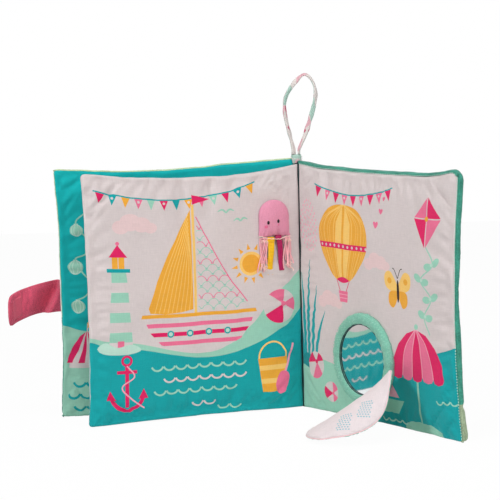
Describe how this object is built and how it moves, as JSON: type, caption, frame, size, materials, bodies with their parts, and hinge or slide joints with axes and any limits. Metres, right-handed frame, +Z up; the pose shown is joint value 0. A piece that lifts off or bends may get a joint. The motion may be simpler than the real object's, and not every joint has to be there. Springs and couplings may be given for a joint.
{
  "type": "cloth activity book",
  "caption": "Soft padded cloth book standing open, with plush covers, a printed leaf, a padded jellyfish, a mirror under a hinged flap, a closure tab and a hanging loop.",
  "frame": {"origin": "middle of the spine's flat foot, on the surface that the book stands on", "axes": "+Z up along the folds; +X to the reader's right, along the open book; -Y towards the reader, the side that the book opens to"},
  "size_m": [0.3503, 0.1739, 0.2714],
  "materials": {
    "mint_plush": "short mint plush with a soft nap",
    "lime_plush": "short pale lime plush with a soft nap",
    "cream_plush": "short cream plush with a soft nap",
    "teal_print": "fine woven cotton, printed teal",
    "printed_cotton": "fine woven cotton with a bright seaside print",
    "wadding": "soft polyester filling",
    "crinkle_film": "thin crackling film",
    "pink_velour": "pink velour with topstitching",
    "hook_tape": "hook side of hook-and-loop tape",
    "loop_tape": "loop side of hook-and-loop tape",
    "jellyfish_velour": "soft pink velour",
    "yellow_satin": "yellow satin ribbon",
    "magenta_satin": "deep magenta satin ribbon",
    "pink_yarn": "short tufts of pink yarn",
    "ring_mint": "mint print with fine speckles",
    "mirror_film": "smooth silvered safety film",
    "loop_cotton": "folded cotton tape with a small print"
  },
  "bodies": {
    "spine": {"spine_plush": "mint_plush", "spine_lining": "teal_print", "loop_tack": "loop_cotton"},
    "front_cover": {"front_cover_lining": "teal_print", "front_cover_plush_upper": "lime_plush", "front_cover_plush_lower": "mint_plush", "front_cover_wadding": "wadding"},
    "closure_tab": {"closure_tab_front": "pink_velour", "closure_tab_back": "pink_velour", "closure_tab_hooks": "hook_tape"},
    "leaf": {"leaf_left_page": "printed_cotton", "leaf_right_page": "printed_cotton", "leaf_wadding_left": "wadding", "leaf_wadding_right": "wadding", "leaf_crinkle_film": "crinkle_film", "jellyfish_bell": "jellyfish_velour", "jellyfish_wadding": "wadding", "jellyfish_hem": "jellyfish_velour"},
    "yellow_ribbon": {"ribbon_yellow": "yellow_satin"},
    "magenta_ribbon": {"ribbon_magenta": "magenta_satin"},
    "left_fringe": {"fringe_left": "pink_yarn"},
    "right_fringe": {"fringe_right": "pink_yarn"},
    "back_cover": {"back_cover_lining": "printed_cotton", "back_cover_plush_upper": "mint_plush", "back_cover_plush_lower": "cream_plush", "back_cover_wadding": "wadding", "mirror_backing": "wadding", "mirror_film": "mirror_film", "mirror_ring": "ring_mint", "closure_loop_patch": "loop_tape", "flap_hinge_tape": "printed_cotton"},
    "mirror_flap": {"flap_inner_panel": "printed_cotton", "flap_outer_panel": "printed_cotton", "flap_batting": "wadding"},
    "hanging_loop": {"hang_loop": "loop_cotton"}
  },
  "joints": [
    {"name": "front_cover_fold", "type": "hinge", "parent": "spine", "child": "front_cover", "pos_m": [-0.00426, 0.00279, 0], "axis": [0, 0, 1], "range_deg": [-75, 8]},
    {"name": "closure_tab_fold", "type": "hinge", "parent": "front_cover", "child": "closure_tab", "pos_m": [-0.19472, -0.01992, 0.0985], "axis": [0, 0, 1], "range_deg": [-60, 90]},
    {"name": "leaf_fold", "type": "hinge", "parent": "spine", "child": "leaf", "pos_m": [-0.00406, -0.00339, 0], "axis": [0, 0, 1], "range_deg": [-8, 62]},
    {"name": "back_cover_fold", "type": "hinge", "parent": "spine", "child": "back_cover", "pos_m": [0.00125, -0.00494, 0], "axis": [0, 0, 1], "range_deg": [-60, 60]},
    {"name": "mirror_flap_fold", "type": "hinge", "parent": "back_cover", "child": "mirror_flap", "pos_m": [0.05478, -0.1036, 0.02862], "axis": [0.3427, -0.4913, 0.8007], "range_deg": [-77, 0]},
    {"name": "yellow_ribbon_swing", "type": "hinge", "parent": "leaf", "child": "yellow_ribbon", "pos_m": [-0.02427, -0.01621, 0.1393], "axis": [-0.9323, -0.3616, 0], "range_deg": [0, 80]},
    {"name": "magenta_ribbon_swing", "type": "hinge", "parent": "leaf", "child": "magenta_ribbon", "pos_m": [-0.01708, -0.01321, 0.1393], "axis": [-0.9323, -0.3616, 0], "range_deg": [0, 80]},
    {"name": "left_fringe_swing", "type": "hinge", "parent": "leaf", "child": "left_fringe", "pos_m": [-0.02983, -0.0185, 0.1393], "axis": [-0.9323, -0.3616, 0], "range_deg": [0, 80]},
    {"name": "right_fringe_swing", "type": "hinge", "parent": "leaf", "child": "right_fringe", "pos_m": [-0.01167, -0.01088, 0.1393], "axis": [-0.9323, -0.3616, 0], "range_deg": [0, 80]},
    {"name": "hanging_loop_bend", "type": "hinge", "parent": "spine", "child": "hanging_loop", "pos_m": [-0.0025, 0, 0.2031], "axis": [1, 0, 0], "range_deg": [-75, 75], "stiffness_Nm_per_rad": 0.003}
  ]
}
